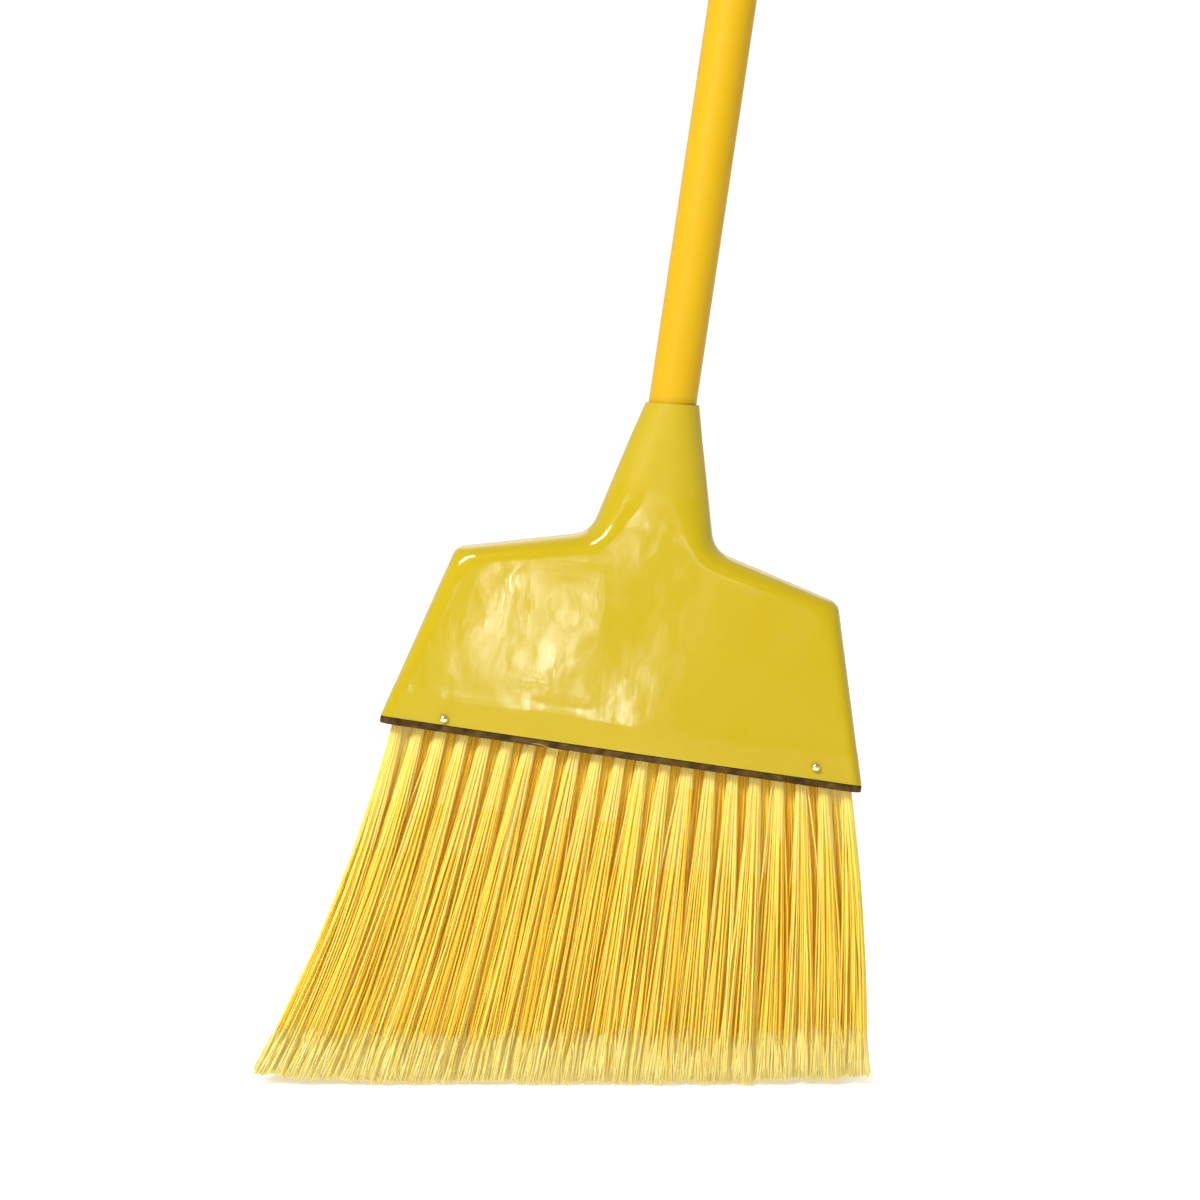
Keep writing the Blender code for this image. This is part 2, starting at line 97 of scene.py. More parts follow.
def material(name, color, roughness, metallic=0.0, specular=0.5):
    made = bpy.data.materials.new(name)
    made.use_nodes = True
    shader = made.node_tree.nodes["Principled BSDF"]
    shader.inputs["Base Color"].default_value = (*color, 1.0)
    shader.inputs["Roughness"].default_value = roughness
    shader.inputs["Metallic"].default_value = metallic
    shader.inputs["Specular IOR Level"].default_value = specular
    return made


def add_noise(made, scale, detail=3.0, stretch=(1, 1, 1), roughness=0.5):
    """A noise texture on the object's own coordinates, stretched along its axes."""
    tree = made.node_tree
    place = tree.nodes.new("ShaderNodeTexCoord")
    mapping = tree.nodes.new("ShaderNodeMapping")
    mapping.inputs["Scale"].default_value = stretch
    tree.links.new(place.outputs["Object"], mapping.inputs["Vector"])
    noise = tree.nodes.new("ShaderNodeTexNoise")
    noise.inputs["Scale"].default_value = scale
    noise.inputs["Detail"].default_value = detail
    noise.inputs["Roughness"].default_value = roughness
    tree.links.new(mapping.outputs["Vector"], noise.inputs["Vector"])
    return noise.outputs["Fac"]


def add_range(made, value, low, high, start=0.3, end=0.7):
    """A value between start and end taken to low and high."""
    tree = made.node_tree
    mapped = tree.nodes.new("ShaderNodeMapRange")
    mapped.inputs["From Min"].default_value = start
    mapped.inputs["From Max"].default_value = end
    mapped.inputs["To Min"].default_value = low
    mapped.inputs["To Max"].default_value = high
    tree.links.new(value, mapped.inputs["Value"])
    return mapped.outputs["Result"]


def add_mix(made, share, first, second):
    """A colour between two, by a share."""
    tree = made.node_tree
    mix = tree.nodes.new("ShaderNodeMix")
    mix.data_type = "RGBA"
    for socket, color in ((mix.inputs[6], first), (mix.inputs[7], second)):
        if isinstance(color, bpy.types.NodeSocket):
            tree.links.new(color, socket)
        else:
            socket.default_value = (*color, 1.0)
    tree.links.new(share, mix.inputs[0])
    return mix.outputs[2]


def add_height(made):
    """How far up its own z axis a point of the object lies."""
    tree = made.node_tree
    place = tree.nodes.new("ShaderNodeTexCoord")
    split = tree.nodes.new("ShaderNodeSeparateXYZ")
    tree.links.new(place.outputs["Object"], split.inputs["Vector"])
    return split.outputs["Z"]


def add_sum(made, first, second):
    total = made.node_tree.nodes.new("ShaderNodeMath")
    made.node_tree.links.new(first, total.inputs[0])
    made.node_tree.links.new(second, total.inputs[1])
    return total.outputs["Value"]


def add_bump(made, heights):
    """Bumps from (height value, strength, distance) rows, each on top of the one before."""
    tree = made.node_tree
    normal = None
    for height, strength, distance in heights:
        bump = tree.nodes.new("ShaderNodeBump")
        bump.inputs["Strength"].default_value = strength
        bump.inputs["Distance"].default_value = distance
        tree.links.new(height, bump.inputs["Height"])
        if normal:
            tree.links.new(normal, bump.inputs["Normal"])
        normal = bump.outputs["Normal"]
    return normal


def finish_with(made, color=None, roughness=None, normal=None):
    shader = made.node_tree.nodes["Principled BSDF"]
    for name, value in (("Base Color", color), ("Roughness", roughness), ("Normal", normal)):
        if value is not None:
            made.node_tree.links.new(value, shader.inputs[name])
    return made


def cap_material():
    made = material("cap_plastic", (0.39, 0.28, 0.004), 0.12, specular=0.26)
    cloud = add_noise(made, 14.0, 3.0)
    swell = add_noise(made, 38.0, 2.0, (1, 1, 0.85))
    ripple = add_noise(made, 95.0, 5.0, (1, 1, 0.7), 0.65)
    streak = add_noise(made, 60.0, 5.0, (1, 1, 0.3), 0.65)
    scratch = add_noise(made, 900.0, 3.0, (0.08, 1, 1))
    color = add_mix(made, cloud, (0.368, 0.272, 0.004), (0.392, 0.279, 0.005))
    glossy = add_range(made, streak, 0.08, 0.19)
    neck = add_range(made, add_height(made), 0.0, 0.34, 122 * MM, 142 * MM)
    rough = add_sum(made, glossy, neck)
    heights = [(swell, 1.0, 0.00042), (ripple, 1.0, 0.00011), (scratch, 1.0, 0.000014)]
    return finish_with(made, color, rough, add_bump(made, heights))


def handle_material():
    made = material("handle_coating", (0.54, 0.325, 0.004), 0.5, specular=0.15)
    along = add_noise(made, 220.0, 3.0, (1, 1, 0.05))
    peel = add_noise(made, 900.0, 1.0)
    color = add_mix(made, along, (0.455, 0.270, 0.002), (0.485, 0.288, 0.003))
    rough = add_range(made, along, 0.42, 0.54)
    return finish_with(made, color, rough, add_bump(made, [(peel, 0.06, 0.0001), (along, 0.04, 0.0002)]))


def fitting_material():
    made = material("fitting_plastic", (0.58, 0.38, 0.008), 0.42)
    grain = add_noise(made, 700.0, 2.0)
    cloud = add_noise(made, 60.0, 2.0)
    color = add_mix(made, cloud, (0.56, 0.36, 0.007), (0.61, 0.39, 0.009))
    rough = add_range(made, grain, 0.36, 0.5)
    return finish_with(made, color, rough, add_bump(made, [(grain, 0.1, 0.0001)]))


def block_material():
    made = material("block_plastic", (0.05, 0.028, 0.008), 0.7, specular=0.07)
    cloud = add_noise(made, 180.0, 4.0)
    grain = add_noise(made, 90.0, 5.0, (0.3, 1, 3))
    share = add_range(made, cloud, 0.0, 1.0, 0.35, 0.65)
    color = add_mix(made, share, (0.030, 0.015, 0.003), (0.092, 0.052, 0.013))
    rough = add_range(made, grain, 0.5, 0.75)
    return finish_with(made, color, rough, add_bump(made, [(grain, 0.5, 0.0004), (cloud, 0.3, 0.0003)]))


def brass_material():
    made = material("nail_brass", (0.72, 0.56, 0.28), 0.22, metallic=1.0)
    tarnish = add_noise(made, 900.0, 3.0)
    color = add_mix(made, tarnish, (0.60, 0.44, 0.20), (0.80, 0.66, 0.38))
    rough = add_range(made, tarnish, 0.15, 0.34)
    return finish_with(made, color, rough, add_bump(made, [(tarnish, 0.1, 0.0001)]))


def rivet_material():
    made = material("rivet_steel", (0.62, 0.62, 0.60), 0.28, metallic=1.0)
    brushed = add_noise(made, 1500.0, 2.0, (1, 1, 0.1))
    rough = add_range(made, brushed, 0.2, 0.4)
    return finish_with(made, None, rough, add_bump(made, [(brushed, 0.1, 0.0001)]))


def filament_material(name, color, roughness, glow):
    """One tone of the bristles. The glow is painted light: an emission that stands in for the warm light
    that comes through the strands around it.
    """
    made = material(name, color, roughness, specular=0.35)
    shader = made.node_tree.nodes["Principled BSDF"]
    shader.inputs["Subsurface Weight"].default_value = 0.35
    shader.inputs["Subsurface Radius"].default_value = (1.0, 0.55, 0.08)
    shader.inputs["Subsurface Scale"].default_value = 1.5 * MM
    shader.inputs["Emission Color"].default_value = (*glow, 1.0)
    shader.inputs["Emission Strength"].default_value = 1.0
    streak = add_noise(made, 2500.0, 1.0, (1, 1, 0.02))
    return finish_with(made, None, add_range(made, streak, roughness - 0.08, roughness + 0.1))


FILAMENT_TONES = (
    (0.71, 0.48, 0.045),
    (0.73, 0.53, 0.070),
    (0.70, 0.44, 0.028),
    (0.74, 0.57, 0.115),
    (0.72, 0.51, 0.055),
)
# Painted shade: the hidden inner rows get a deeper orange than the rest, standing in for the warm shade in
# the gaps between the tufts.
SHADED_TONES = ((0.70, 0.42, 0.026), (0.72, 0.48, 0.040), (0.74, 0.54, 0.060))
SPLIT_TONES = ((0.61, 0.455, 0.085), (0.62, 0.505, 0.135), (0.64, 0.55, 0.195))
# Painted light: emissions that make the strands glow, standing in for the warm light that comes through
# them. The split ends glow most, to lighten their shade.
STRAND_GLOW = (0.085, 0.040, 0.001)
DEEP_GLOW = (0.120, 0.058, 0.004)
SPLIT_GLOW = (0.185, 0.145, 0.048)

# ---------------------------------------------------------------- meshes


def link(name, data):
    """A new object in the scene."""
    made = bpy.data.objects.new(name, data)
    bpy.context.scene.collection.objects.link(made)
    return made


def new_mesh(name, points, faces, materials, tones=None):
    """A smooth mesh object from points and faces, with a material index for each face if tones says so."""
    mesh = bpy.data.meshes.new(name)
    mesh.from_pydata(np.asarray(points).tolist(), [], faces)
    for each in materials:
        mesh.materials.append(each)
    if tones is not None:
        mesh.polygons.foreach_set("material_index", np.asarray(tones, np.int32))
    mesh.shade_smooth()
    mesh.update()
    return link(name, mesh)


def stand_for(made, body, slot, *nodes):
    """The piece rides on a body and stands for CAD nodes, which are hidden. The slot is not used."""
    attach(made, body)
    if nodes:
        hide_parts(*nodes)
    return made


def lathe(name, profile, finish, steps=96, wave=None, place=None):
    """A closed (radius, height) profile turned about the head's z axis, or about a place's own z axis.

    A wave moves the turned points: it takes and gives their radii and heights.
    """
    angles = np.linspace(0, TURN, steps, endpoint=False)
    profile = np.asarray(profile, float)
    count = len(profile)
    radii = np.repeat(profile[:, :1], steps, axis=1)
    heights = np.repeat(profile[:, 1:], steps, axis=1)
    if wave is not None:
        radii, heights = wave(radii, heights, angles[None, :])
    points = np.stack([radii * np.cos(angles), radii * np.sin(angles), heights], axis=-1).reshape(-1, 3)
    faces = []
    for i in range(count):
        n = (i + 1) % count
        for k in range(steps):
            m = (k + 1) % steps
            faces.append([i * steps + k, n * steps + k, n * steps + m, i * steps + m])
    made = clean(new_mesh(name, points, faces, [finish]))
    if place is not None:
        made.data.transform(place)
    made.matrix_world = HEAD
    return made


def clean(made, sharp_angle=35):
    """Welds points that meet, drops faces without area, and turns every face outwards."""
    shape = bmesh.new()
    shape.from_mesh(made.data)
    bmesh.ops.remove_doubles(shape, verts=shape.verts, dist=1e-6)
    bmesh.ops.dissolve_degenerate(shape, edges=shape.edges, dist=1e-7)
    bmesh.ops.recalc_face_normals(shape, faces=shape.faces)
    shape.to_mesh(made.data)
    shape.free()
    made.data.shade_smooth()
    made.data.set_sharp_from_angle(angle=math.radians(sharp_angle))
    return made


def arc(centre, radius, start, end, steps):
    """Points (r, z) of an arc between two angles in degrees."""
    angles = np.radians(np.linspace(start, end, steps + 1))
    return [(centre[0] + radius * math.cos(a), centre[1] + radius * math.sin(a)) for a in angles]


def cut(made, other):
    """Takes another object's volume out of this one's. The other object is removed."""
    modifier = made.modifiers.new("cut", "BOOLEAN")
    modifier.operation = "DIFFERENCE"
    modifier.object = other
    modifier.solver = "EXACT"
    bpy.context.view_layer.update()
    graph = bpy.context.evaluated_depsgraph_get()
    mesh = bpy.data.meshes.new_from_object(made.evaluated_get(graph))
    made.modifiers.clear()
    made.data = mesh
    bpy.data.objects.remove(other)
    return made


# ---------------------------------------------------------------- cap

CAP_LOW, CAP_HIGH = span("broom_cap")
SKIRT_STEP = 0.14 * MM
CAP_EDGE = (CAP_HIGH[0] - 0.4 * MM, 0.0)
CAP_SHOULDER = (97.2 * MM, 88.4 * MM)
CAP_NECK_BASE = (31.6 * MM, 105.6 * MM)
CAP_MOUTH = (13.4 * MM, CAP_HIGH[2])
CAP_WALL = 2.0 * MM
SKIRT_HEIGHT = 15.0 * MM
# Rows of a height and the value there, in millimetres.
HALF_DEPTHS = ((0.0, 18.6), (15.0, 18.4), (88.0, 15.2), (112.0, 14.0), (400.0, 14.0))
ROUNDINGS = (
    (0.0, 8.0),
    (60.0, 9.4),
    (90.0, 10.0),
    (104.0, 12.0),
    (128.0, 21.0),
    (150.0, 18.0),
    (176.0, 12.8),
)
# The power of the rounded edge's curve. Above 2, no line shows where the rounding runs into the face.
EDGE_POWERS = ((0.0, 2.7), (100.0, 2.7), (130.0, 2.15), (400.0, 2.15))
EDGE_LAND = 1.2 * MM  # the least half depth of the side wall
MOUTH_TILT = 0.085  # the slope of the neck's upper edge, which eases in over the neck's last part
MOUTH_TILT_REACH = 16 * MM
LEVELS = 14
FACE_SPACING, CAVITY_SPACING = 1.6 * MM, 4.0 * MM  # between points along the outline


def table_value(table, z):
    heights, values = zip(*table)
    return np.interp(np.asarray(z) / MM, heights, values) * MM


def line_distance(points, start, end):
    """How far points lie to the left of a line."""
    start, end = np.array(start), np.array(end)
    along = (end - start) / np.linalg.norm(end - start)
    return (points - start) @ np.array([-along[1], along[0]])


def soft_min(a, b, reach):
    share = np.clip(0.5 + 0.5 * (b - a) / reach, 0, 1)
    return b * (1 - share) + a * share - reach * share * (1 - share)


def edge_distance(points, inset=0.0):
    """How far points of the right half lie inside the cap's outline, smoothed over its corners."""
    side = line_distance(points, CAP_EDGE, CAP_SHOULDER)
    shoulder = line_distance(points, CAP_SHOULDER, CAP_NECK_BASE)
    neck = line_distance(points, CAP_NECK_BASE, CAP_MOUTH)
    upper = -soft_min(-shoulder, -neck, 7.5 * MM)
    depth = np.maximum(np.minimum(side, upper), 0)
    return soft_min(side, upper, 3.0 * MM + 0.9 * depth) - inset


def smooth_step(share):
    share = np.clip(share, 0, 1)
    return share * share * (3 - 2 * share)


def skirt(z):
    """1 on the skirt band, easing to 0 just above it."""
    return 1 - smooth_step((z - SKIRT_HEIGHT) / (1.6 * MM))


def face_wave(x, z):
    """The moulding's slow waves, over a gentle crown."""
    u, v = x / MM, z / MM
    crown = 1.3 * (u / 122.0) ** 2
    wave = 0.16 * np.sin(u / 17.0 + 0.6) * np.sin(v / 15.0 + 0.4)
    wave += 0.10 * np.sin(u / 9.5 - v / 21.0 + 1.0)
    wave += 0.07 * np.sin(v / 8.0 + u / 30.0)
    return (wave - crown) * MM


def cap_front(points, inset=0.0, plain=False):
    """Half depth of the cap at points of its outline plane, with rounded edges."""
    x, z = points[:, 0], points[:, 1]
    depth = table_value(HALF_DEPTHS, z) - inset
    radius = table_value(ROUNDINGS, z) - inset
    level = np.clip(edge_distance(np.stack([np.abs(x), z], axis=1), inset), 0, radius)
    power = table_value(EDGE_POWERS, z) / MM
    drop = np.minimum(radius, depth - EDGE_LAND)
    rounded = depth - drop + drop * np.sqrt(1 - (1 - level / radius) ** power)
    if plain:
        return rounded
    ease = smooth_step(level / radius) * smooth_step((CAP_NECK_BASE[1] + 30 * MM - z) / (30 * MM))
    return rounded + face_wave(x, z) * ease + SKIRT_STEP * skirt(z)


def march(start, direction, level, inset):
    """The points along each direction where the edge distance reaches a level."""
    low = np.full(len(start), -4 * MM)
    high = np.full(len(start), 30 * MM)
    for _ in range(40):
        middle = (low + high) / 2
        inside = edge_distance(start + direction * middle[:, None], inset) > level
        high = np.where(inside, middle, high)
        low = np.where(inside, low, middle)
    return start + direction * high[:, None]


def outline_samples(low, high, spacing):
    """Points along the right side's three lines with the direction to go inwards from each."""
    corners = [np.array(p) for p in (CAP_EDGE, CAP_SHOULDER, CAP_NECK_BASE, CAP_MOUTH)]
    for end, inner, height in ((0, 1, low), (3, 2, high)):
        slope = (corners[end] - corners[inner]) / (corners[end] - corners[inner])[1]
        corners[end] = corners[inner] + slope * (height - corners[inner][1])
    points, directions = [], []
    normals = []
    for a, b in zip(corners, corners[1:]):
        along = (b - a) / np.linalg.norm(b - a)
        normals.append(np.array([-along[1], along[0]]))
    level_in = np.array([-1.0, 0.0])
    turns = [level_in, *((a + b) / 2 for a, b in zip(normals, normals[1:])), level_in]
    for k, (a, b) in enumerate(zip(corners, corners[1:])):
        count = max(2, round(np.linalg.norm(b - a) / spacing))
        for i in range(count + (k == 2)):
            share = i / count
            direction = turns[k] + (turns[k + 1] - turns[k]) * smooth_step(share)
            points.append(a + (b - a) * share)
            directions.append(direction / np.linalg.norm(direction))
    return np.array(points), np.array(directions)


def inside_loop(points, loop, room):
    """Which points lie inside a closed loop, and no nearer than this to any of its corners."""
    x, z = points[:, :1], points[:, 1:]
    start, end = loop, np.roll(loop, -1, axis=0)
    rise = np.where(end[:, 1] == start[:, 1], 1e-12, end[:, 1] - start[:, 1])
    level = (start[:, 1] > z) != (end[:, 1] > z)
    crossed = level & (x < start[:, 0] + (z - start[:, 1]) / rise * (end[:, 0] - start[:, 0]))
    near = np.hypot(x - start[:, 0], z - start[:, 1]).min(axis=1)
    return (crossed.sum(axis=1) % 2 == 1) & (near > room)


def cap_solid(name, finish, low, high, inset, spacing, plain):
    """The cap's outer form, or with an inset its cavity: a closed solid, from rings inside its outline."""
    start, direction = outline_samples(low, high, spacing)
    count = len(start)
    radius = table_value(ROUNDINGS, start[:, 1]) - inset
    rings = []
    for j in range(LEVELS + 1):
        level = radius * (1 - math.cos(TURN / 4 * j / LEVELS))
        rings.append(march(start, direction, np.maximum(level, 1e-6), inset))
    # The flat middle, inside the innermost ring: a triangle grid, joined to the ring.
    inner = rings[-1]
    top = np.linspace(inner[-1, 0], 0, max(2, round(inner[-1, 0] / spacing)) + 1)[1:]
    side = np.linspace(high, low, round((high - low) / (2 * spacing)) + 1)[1:-1]
    bottom = np.linspace(0, inner[0, 0], round(inner[0, 0] / (2 * spacing)) + 1)[:-1]
    loop = [tuple(p) for p in inner]
    loop += [(x, high) for x in top]
    loop += [(0.0, z) for z in side]
    loop += [(x, low) for x in bottom]
    step = 2 * spacing
    rise = step * 0.87
    grid = []
    for row in range(1, int((high - low) / rise)):
        z = low + row * rise
        for x in np.arange(step * (0.5 if row % 2 else 1.0), CAP_EDGE[0], step):
            grid.append((x, z))
    grid = np.array(grid)
    grid = grid[inside_loop(grid, np.array(loop), 0.6 * step)]
    flat = [Vector(p) for p in loop] + [Vector(p) for p in grid]
    edges = [(k, (k + 1) % len(loop)) for k in range(len(loop))]
    flat_points, _, triangles, _, _, _ = delaunay_2d_cdt(flat, edges, [], 1, 1e-7)
    flat_points = np.array([tuple(p) for p in flat_points])

    points, faces = [], []

    def add(plane_points, half_depths, side_x, side_y):
        first = len(points)
        for (x, z), depth in zip(plane_points, half_depths):
            points.append((side_x * x, side_y * depth, z))
        return first

    for side_x in (1, -1):
        wall = None
        for side_y in (-1, 1):
            mirror = np.array([side_x, 1])
            face_depths = cap_front(flat_points * mirror, inset, plain)
            first = add(flat_points, face_depths, side_x, side_y)
            faces += [[first + k for k in triangle] for triangle in triangles]
            ring_first = []
            for j, ring in enumerate(rings):
                proud = np.zeros(count) if plain else SKIRT_STEP * skirt(ring[:, 1]) * (1 - j / LEVELS)
                shifted = ring + np.stack([proud, np.zeros(count)], axis=1)
                ring_first.append(add(shifted, cap_front(ring * mirror, inset, plain), side_x, side_y))
            for a, b in zip(ring_first, ring_first[1:]):
                faces += [[a + i, a + i + 1, b + i + 1, b + i] for i in range(count - 1)]
            if wall is None:
                wall = ring_first[0]
            else:
                other = ring_first[0]
                faces += [[wall + i, wall + i + 1, other + i + 1, other + i] for i in range(count - 1)]
    made = new_mesh(name, np.array(points), faces, [finish])
    shape = bmesh.new()
    shape.from_mesh(made.data)
    bmesh.ops.remove_doubles(shape, verts=shape.verts, dist=2e-6)
    bmesh.ops.holes_fill(shape, edges=[e for e in shape.edges if e.is_boundary], sides=0)
    bmesh.ops.recalc_face_normals(shape, faces=shape.faces)
    shape.to_mesh(made.data)
    shape.free()
    return made


THREAD_PITCH = 5.08 * MM
SEAT = 139.0 * MM  # height of the ledge that the handle's collar comes down on
MOUTH_RADIUS = 12.3 * MM
MOUTH_CHAMFER = 0.7 * MM
MALE_CORE, MALE_CREST = 7.6 * MM, 9.3 * MM
THREAD_CLEARANCE = 0.35 * MM
SOCKET_RADIUS = 13.2 * MM
SOCKET_BOTTOM = 106.0 * MM
CAVITY_TOP = 132.0 * MM


def thread_wave(core, crest, bottom, top):
    """Turns the straight part of a profile into a right-hand thread between two heights."""

    def wave(radii, heights, angles):
        phase = (heights / THREAD_PITCH - angles / TURN) % 1.0
        ramp = np.clip((0.30 - np.abs(phase - 0.5)) / 0.14, 0, 1)
        inside = np.clip((heights - bottom) / (2 * MM), 0, 1) * np.clip((top - heights) / (2 * MM), 0, 1)
        threaded = np.abs(radii - core) < 1e-6
        return np.where(threaded, radii + (crest - core) * ramp * inside, radii), heights

    return wave


def make_cap(finish):
    """The shell, hollow round a socket that is bored for the handle and threaded."""
    cap = cap_solid("moulded_cap", finish, 0.0, CAP_MOUTH[1], 0.0, FACE_SPACING, False)
    cavity = cap_solid("cavity", finish, -CAP_WALL, CAVITY_TOP, CAP_WALL, CAVITY_SPACING, True)
    low, high = SOCKET_BOTTOM, CAP_MOUTH[1]
    core = lathe("socket", [(0, SEAT), (SOCKET_RADIUS, SEAT), (SOCKET_RADIUS, low), (0, low)], finish, 64)
    core.matrix_world = Matrix.Identity(4)
    cut(cavity, core)
    cut(cap, cavity)
    female = MALE_CORE + THREAD_CLEARANCE
    bottom = low - 6 * MM
    rows = [(female, z) for z in np.arange(SEAT, bottom, -0.4 * MM)]
    profile = [
        (0, high + CAP_WALL),
        (MOUTH_RADIUS + 2 * MOUTH_CHAMFER, high + CAP_WALL),
        (MOUTH_RADIUS + MOUTH_CHAMFER, high),
        (MOUTH_RADIUS, high - 1.6 * MM),
        (MOUTH_RADIUS, SEAT),
    ]
    past = 20 * MM  # so that the thread runs out of both ends of the socket
    wave = thread_wave(female, MALE_CREST + THREAD_CLEARANCE, low - past, SEAT + past)
    bore = lathe("bore", [*profile, *rows, (0, bottom)], finish, 72, wave)
    bore.matrix_world = Matrix.Identity(4)
    cut(cap, bore)
    for vertex in cap.data.vertices:
        share = min(1.0, max(0.0, 1 + (vertex.co.z - high) / MOUTH_TILT_REACH))
        vertex.co.z += MOUTH_TILT * vertex.co.x * share
    clean(cap, 40)
    cap.matrix_world = HEAD
    return stand_for(cap, "head", "cap_plastic", "broom_cap")


# ---------------------------------------------------------------- block, nails


FLANGE_TOP = -0.3 * MM
FLANGE_EDGE = 0.5 * MM  # radius of the flange's rounded edges
BLOCK_CORNER = 6.0 * MM
BLOCK_FLANGE_INSIDE = (119.7 * MM, 16.1 * MM)  # half width and half depth, just above the flange
BLOCK_TOP = (113.4 * MM, 15.1 * MM)
HOLE_RADIUS = 2.8 * MM
HOLE_CLEARANCE = 0.3 * MM


def rounded_ring(half_width, half_depth, z, steps=10):
    """A rectangle with the block's rounded corners, level at a height."""
    ring = []
    for quarter in range(4):
        side_x, side_y = (1, -1, -1, 1)[quarter], (1, 1, -1, -1)[quarter]
        for k in range(steps + 1):
            angle = TURN / 4 * (quarter + k / steps)
            x = side_x * (half_width - BLOCK_CORNER) + BLOCK_CORNER * math.cos(angle)
            y = side_y * (half_depth - BLOCK_CORNER) + BLOCK_CORNER * math.sin(angle)
            ring.append((x, y, z))
    return ring


def loft(name, rings, finish):
    """A closed skin over rings of as many points each."""
    count = len(rings[0])
    points = [p for ring in rings for p in ring]
    faces = [list(range(count)), [(len(rings) - 1) * count + k for k in range(count)]]
    for j in range(len(rings) - 1):
        for k in range(count):
            n = (k + 1) % count
            faces.append([j * count + k, j * count + n, (j + 1) * count + n, (j + 1) * count + k])
    return clean(new_mesh(name, points, faces, [finish]))


def make_block(finish, tufts):
    low, high = span("bristle_block")
    wide, deep = high[0], high[1]
    quarter = np.linspace(0, TURN / 4, 5)
    rings = []
    for height, up, angles in ((low[2], 1, quarter), (FLANGE_TOP, -1, quarter[::-1])):
        for a in angles:
            back = FLANGE_EDGE * (1 - math.sin(a))
            z = height + up * FLANGE_EDGE * (1 - math.cos(a))
            rings.append(rounded_ring(wide - back, deep - back, z))
    rings.append(rounded_ring(*BLOCK_FLANGE_INSIDE, FLANGE_TOP))
    rings.append(rounded_ring(*BLOCK_TOP, high[2]))
    block = loft("bristle_block_looks", rings, finish)
    holes = bmesh.new()
    for root, trim in tufts:
        along = (trim - root) / (trim[2] - root[2])
        start = Vector(root + along * HOLE_CLEARANCE)
        end = Vector(root + along * (low[2] - 3 * MM - root[2]))
        place = (end - start).to_track_quat("Z", "Y").to_matrix().to_4x4()
        place.translation = (start + end) / 2
        bmesh.ops.create_cone(
            holes,
            cap_ends=True,
            segments=14,
            radius1=HOLE_RADIUS,
            radius2=HOLE_RADIUS,
            depth=(end - start).length,
            matrix=place,
        )
    mesh = bpy.data.meshes.new("holes")
    holes.to_mesh(mesh)
    holes.free()
    cut(block, link("holes", mesh))
    clean(block, 40)
    block.matrix_world = HEAD
    return stand_for(block, "head", "block_plastic", "bristle_block")


def make_nails(finish):
    for name in ("nail_front_left", "nail_front_right", "nail_back_left", "nail_back_right"):
        low, high = span(name)
        side = -1 if high[1] < 0 else 1
        radius = (high[0] - low[0]) / 2
        tall = 1.3 * MM
        length = (high[1] - low[1]) - tall
        shank = 0.7 * MM
        head = [(0.0, tall)]
        head += [(radius * math.sin(a), tall * math.cos(a)) for a in np.radians(np.arange(7.5, 90, 7.5))]
        head += [(radius, 0.08 * MM), (radius - 0.1 * MM, 0.0), (shank, 0.0)]
        point = [(shank, 2 * shank - length), (0.15 * MM, 0.1 * MM - length), (0.0, -length)]
        base = low[1] + tall if side < 0 else high[1] - tall
        place = Matrix.Translation(((low[0] + high[0]) / 2, base, (low[2] + high[2]) / 2))
        place = place @ Matrix.Rotation(math.radians(90 if side < 0 else -90), 4, "X")
        nail = lathe(name + "_looks", head + point, finish, 40, None, place)
        stand_for(nail, "head", "nail_brass", name)


# ---------------------------------------------------------------- handle and fittings


PLUG_WALL = 1.1 * MM  # how much less the radius of the plugs is than the handle's
PIN_BORE = 2.5 * MM


def make_handle(finish):
    low, high = span("handle_tube")
    radius = high[0]
    wall = 0.8 * MM
    rim = wall / 2
    outer = [(radius, z) for z in np.linspace(high[2] - rim, low[2] + rim, 60)]
    profile = [*arc((radius - rim, high[2] - rim), rim, 180, 0, 8), *outer[1:-1]]
    profile += [*arc((radius - rim, low[2] + rim), rim, 0, -180, 8)]
    tube = lathe("handle_tube_looks", profile, finish, 128)
    return stand_for(tube, "handle", "handle_coating", "handle_tube")


def make_tip(finish):
    low, high = span("threaded_tip")
    radius = high[0]
    collar_low = SEAT + 0.3 * MM
    collar_high = collar_low + 4.0 * MM
    plug = radius - PLUG_WALL
    soft = 0.5 * MM
    rows = [(MALE_CORE, z) for z in np.arange(collar_low - 0.3 * MM, low[2] + 1.2 * MM, -0.35 * MM)]
    profile = [
        (0, high[2]),
        (plug - 1.0 * MM, high[2]),
        (plug, high[2] - 1.0 * MM),
        (plug, collar_high),
        *arc((radius - soft, collar_high - soft), soft, 90, 0, 5),
        *arc((radius - soft, collar_low + soft), soft, 0, -90, 5),
        (MALE_CORE, collar_low),
        *rows,
        (MALE_CORE - 0.9 * MM, low[2]),
        (0, low[2]),
    ]
    wave = thread_wave(MALE_CORE, MALE_CREST, low[2] + 0.5 * MM, collar_low - 0.5 * MM)
    tip = lathe("threaded_tip_looks", profile, finish, 96, wave)
    return stand_for(tip, "handle", "fitting_plastic", "threaded_tip")


